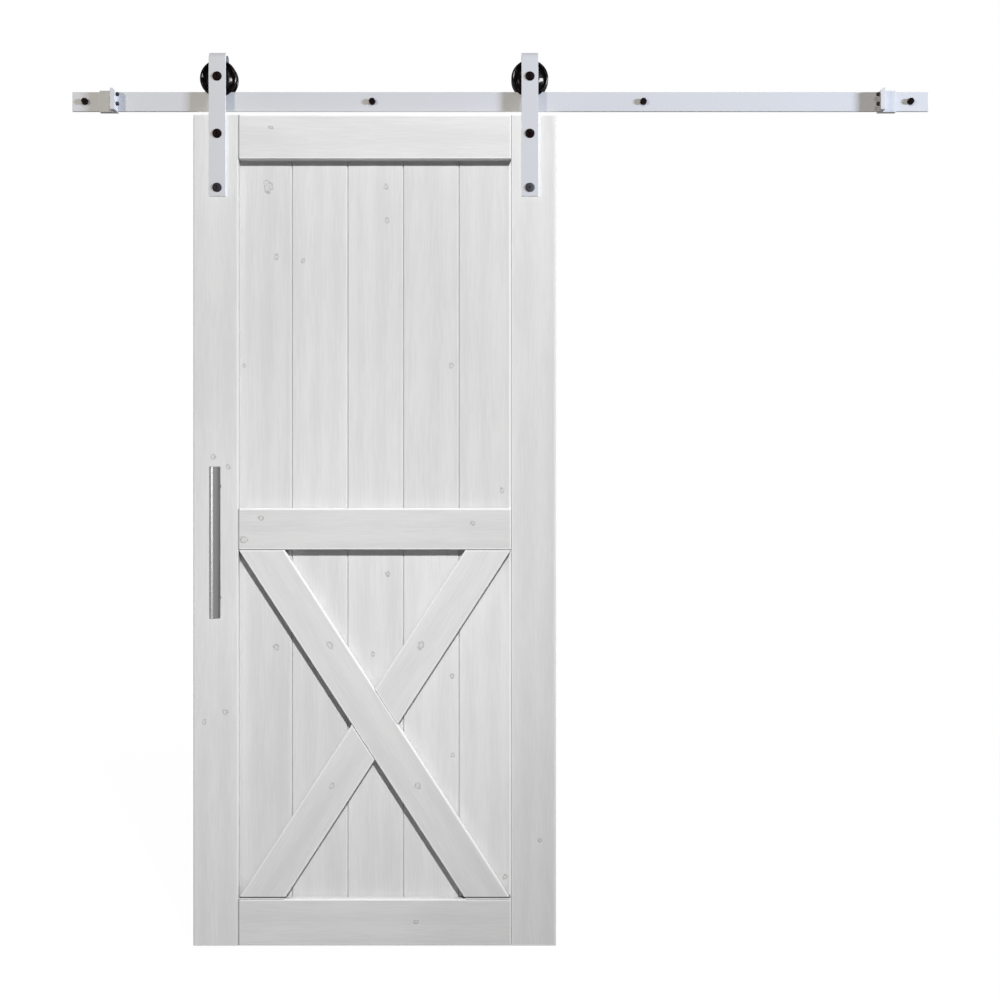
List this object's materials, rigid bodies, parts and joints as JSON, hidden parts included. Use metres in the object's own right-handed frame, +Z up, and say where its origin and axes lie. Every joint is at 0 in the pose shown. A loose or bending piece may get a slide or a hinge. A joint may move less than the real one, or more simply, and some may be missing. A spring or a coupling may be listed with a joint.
{
  "type": "sliding barn door",
  "caption": "White plank door with a half-X front that slides on a flat wall rail, hung by bent straps with flanged wheels, with end stops and a round pull bar.",
  "frame": {"origin": "on the wall's face at the rail's mid height, midway between the outer wall bolts", "axes": "+X along the rail to the right as seen from the room, +Y into the wall, +Z up"},
  "size_m": [2.21, 0.142, 2.2983],
  "materials": {
    "painted_wood": "white paint over pine, faint grain",
    "raw_wood": "bare hardwood",
    "powder_coat": "satin white powder coat",
    "dark_bolts": "black oxide",
    "zinc": "zinc plated",
    "stainless": "brushed lengthwise",
    "wheel_black": "gloss black",
    "bearing_steel": "ground",
    "bumper_rubber": "matt"
  },
  "bodies": {
    "track": {"rail": "powder_coat", "wall_spacers": "powder_coat", "lag_bolts": "dark_bolts", "left_stop": "powder_coat", "right_stop": "powder_coat", "left_bumpers": "bumper_rubber", "right_bumpers": "bumper_rubber", "stop_screws": "zinc"},
    "door": {"left_stile": "painted_wood", "right_stile": "painted_wood", "top_rail": "painted_wood", "mid_rail": "painted_wood", "bottom_rail": "painted_wood", "upper_plank_1": "painted_wood", "upper_plank_2": "painted_wood", "upper_plank_3": "painted_wood", "upper_plank_4": "painted_wood", "upper_plank_5": "painted_wood", "lower_plank_1": "painted_wood", "lower_plank_2": "painted_wood", "lower_plank_3": "painted_wood", "lower_plank_4": "painted_wood", "lower_plank_5": "painted_wood", "long_brace": "painted_wood", "upper_half_brace": "painted_wood", "lower_half_brace": "painted_wood", "frame_dowels": "raw_wood", "left_hanger": "powder_coat", "right_hanger": "powder_coat", "door_bolts": "dark_bolts", "axle_bolts": "dark_bolts", "brace_screws": "zinc", "pull_bolts": "zinc", "door_washers": "zinc", "door_nuts": "zinc", "axle_spacers": "zinc", "axle_nuts": "zinc", "pull_bar": "stainless", "pull_posts": "stainless", "left_inner_ring": "bearing_steel", "right_inner_ring": "bearing_steel"},
    "left_roller": {"left_wheel": "wheel_black", "left_outer_ring": "bearing_steel", "left_balls": "bearing_steel"},
    "right_roller": {"right_wheel": "wheel_black", "right_outer_ring": "bearing_steel", "right_balls": "bearing_steel"}
  },
  "joints": [
    {"name": "door_slide", "type": "slide", "parent": "track", "child": "door", "axis": [1, 0, 0], "range_m": [-0.229, 0.866]},
    {"name": "left_wheel_spin", "type": "hinge", "parent": "door", "child": "left_roller", "pos_m": [-0.7195, -0.035, 0.0578], "axis": [0, 1, 0], "continuous": true},
    {"name": "right_wheel_spin", "type": "hinge", "parent": "door", "child": "right_roller", "pos_m": [0.0825, -0.035, 0.0578], "axis": [0, 1, 0], "continuous": true}
  ],
  "couplings": [
    {"joint": "left_wheel_spin", "follows": "door_slide", "rad_per_m": 30.769},
    {"joint": "right_wheel_spin", "follows": "door_slide", "rad_per_m": 30.769}
  ]
}
